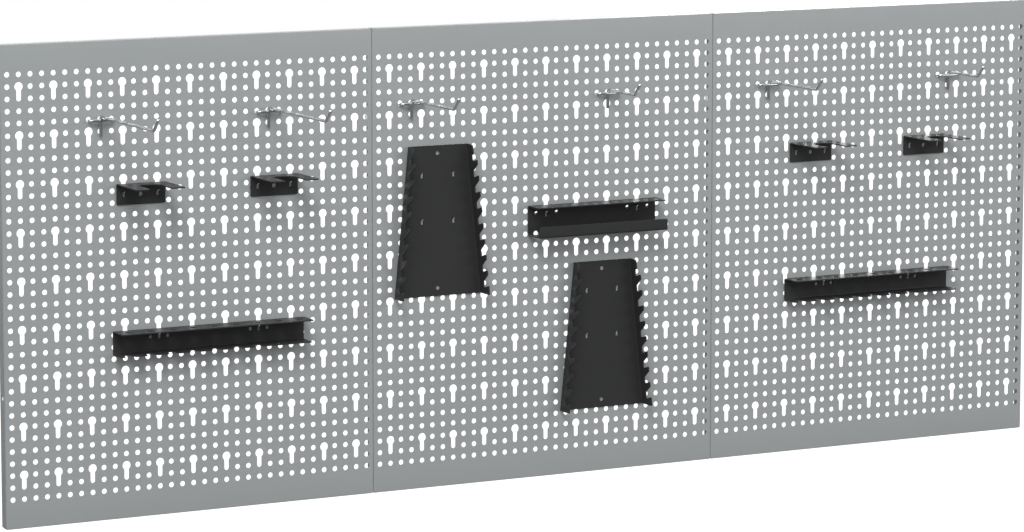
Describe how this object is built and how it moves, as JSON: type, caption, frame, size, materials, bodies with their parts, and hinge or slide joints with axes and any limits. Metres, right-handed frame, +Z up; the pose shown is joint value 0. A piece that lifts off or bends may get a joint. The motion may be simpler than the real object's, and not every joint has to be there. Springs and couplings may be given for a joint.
{
  "type": "tool wall",
  "caption": "Perforated steel panels bolted side by side, hung with wire hooks, forked pliers brackets, slotted screwdriver racks, a small parts tray and notched wrench racks.",
  "frame": {"origin": "on the back of the centre panel's top lip, half way along it and half way up it, where it lies on the building's wall", "axes": "+X along the tool wall to the right as seen from the front, +Y back into the building's wall, +Z up"},
  "size_m": [1.496, 0.2059, 0.5985],
  "materials": {
    "panel_paint": "satin powder coat, light grey",
    "holder_paint": "semi-gloss powder coat, near black",
    "hook_chrome": "bright plate",
    "zinc": "zinc plated"
  },
  "bodies": {
    "wall": {"left_panel": "panel_paint", "centre_panel": "panel_paint", "right_panel": "panel_paint", "left_seam_upper_bolt": "zinc", "left_seam_upper_nut": "zinc", "left_seam_lower_bolt": "zinc", "left_seam_lower_nut": "zinc", "right_seam_upper_bolt": "zinc", "right_seam_upper_nut": "zinc", "right_seam_lower_bolt": "zinc", "right_seam_lower_nut": "zinc"},
    "hook_1": {"hook_1_crossbar": "hook_chrome", "hook_1_arm": "hook_chrome"},
    "hook_2": {"hook_2_crossbar": "hook_chrome", "hook_2_arm": "hook_chrome"},
    "hook_3": {"hook_3_crossbar": "hook_chrome", "hook_3_arm": "hook_chrome"},
    "hook_4": {"hook_4_crossbar": "hook_chrome", "hook_4_arm": "hook_chrome"},
    "hook_5": {"hook_5_crossbar": "hook_chrome", "hook_5_arm": "hook_chrome"},
    "hook_6": {"hook_6_crossbar": "hook_chrome", "hook_6_arm": "hook_chrome"},
    "pliers_bracket_1": {"pliers_bracket_1": "holder_paint"},
    "pliers_bracket_2": {"pliers_bracket_2": "holder_paint"},
    "pliers_bracket_3": {"pliers_bracket_3": "holder_paint"},
    "pliers_bracket_4": {"pliers_bracket_4": "holder_paint"},
    "left_screwdriver_rack": {"left_screwdriver_rack": "holder_paint"},
    "right_screwdriver_rack": {"right_screwdriver_rack": "holder_paint"},
    "small_parts_tray": {"small_parts_tray": "holder_paint"},
    "upper_wrench_rack": {"upper_wrench_rack": "holder_paint"},
    "lower_wrench_rack": {"lower_wrench_rack": "holder_paint"}
  },
  "joints": [
    {"name": "hook_1_tilt", "type": "hinge", "parent": "wall", "child": "hook_1", "pos_m": [-0.6188, -0.0163, -0.08191], "axis": [-1, 0, 0], "range_deg": [0, 65]},
    {"name": "hook_2_tilt", "type": "hinge", "parent": "wall", "child": "hook_2", "pos_m": [-0.3938, -0.0163, -0.08191], "axis": [-1, 0, 0], "range_deg": [0, 65]},
    {"name": "hook_3_tilt", "type": "hinge", "parent": "wall", "child": "hook_3", "pos_m": [-0.195, -0.0163, -0.08191], "axis": [-1, 0, 0], "range_deg": [0, 65]},
    {"name": "hook_4_tilt", "type": "hinge", "parent": "wall", "child": "hook_4", "pos_m": [0.09, -0.0163, -0.08191], "axis": [-1, 0, 0], "range_deg": [0, 65]},
    {"name": "hook_5_tilt", "type": "hinge", "parent": "wall", "child": "hook_5", "pos_m": [0.3338, -0.0163, -0.08191], "axis": [-1, 0, 0], "range_deg": [0, 65]},
    {"name": "hook_6_tilt", "type": "hinge", "parent": "wall", "child": "hook_6", "pos_m": [0.6188, -0.0163, -0.08191], "axis": [-1, 0, 0], "range_deg": [0, 65]},
    {"name": "pliers_bracket_1_lift", "type": "slide", "parent": "wall", "child": "pliers_bracket_1", "axis": [0, -0.866, 0.5], "range_m": [0, 0.03]},
    {"name": "pliers_bracket_2_lift", "type": "slide", "parent": "wall", "child": "pliers_bracket_2", "axis": [0, -0.866, 0.5], "range_m": [0, 0.03]},
    {"name": "pliers_bracket_3_lift", "type": "slide", "parent": "wall", "child": "pliers_bracket_3", "axis": [0, -0.866, 0.5], "range_m": [0, 0.03]},
    {"name": "pliers_bracket_4_lift", "type": "slide", "parent": "wall", "child": "pliers_bracket_4", "axis": [0, -0.866, 0.5], "range_m": [0, 0.03]},
    {"name": "left_screwdriver_rack_lift", "type": "slide", "parent": "wall", "child": "left_screwdriver_rack", "axis": [0, -0.866, 0.5], "range_m": [0, 0.03]},
    {"name": "right_screwdriver_rack_lift", "type": "slide", "parent": "wall", "child": "right_screwdriver_rack", "axis": [0, -0.866, 0.5], "range_m": [0, 0.03]},
    {"name": "small_parts_tray_lift", "type": "slide", "parent": "wall", "child": "small_parts_tray", "axis": [0, -0.866, 0.5], "range_m": [0, 0.03]},
    {"name": "upper_wrench_rack_lift", "type": "slide", "parent": "wall", "child": "upper_wrench_rack", "axis": [0, -0.866, 0.5], "range_m": [0, 0.03]},
    {"name": "lower_wrench_rack_lift", "type": "slide", "parent": "wall", "child": "lower_wrench_rack", "axis": [0, -0.866, 0.5], "range_m": [0, 0.03]}
  ]
}
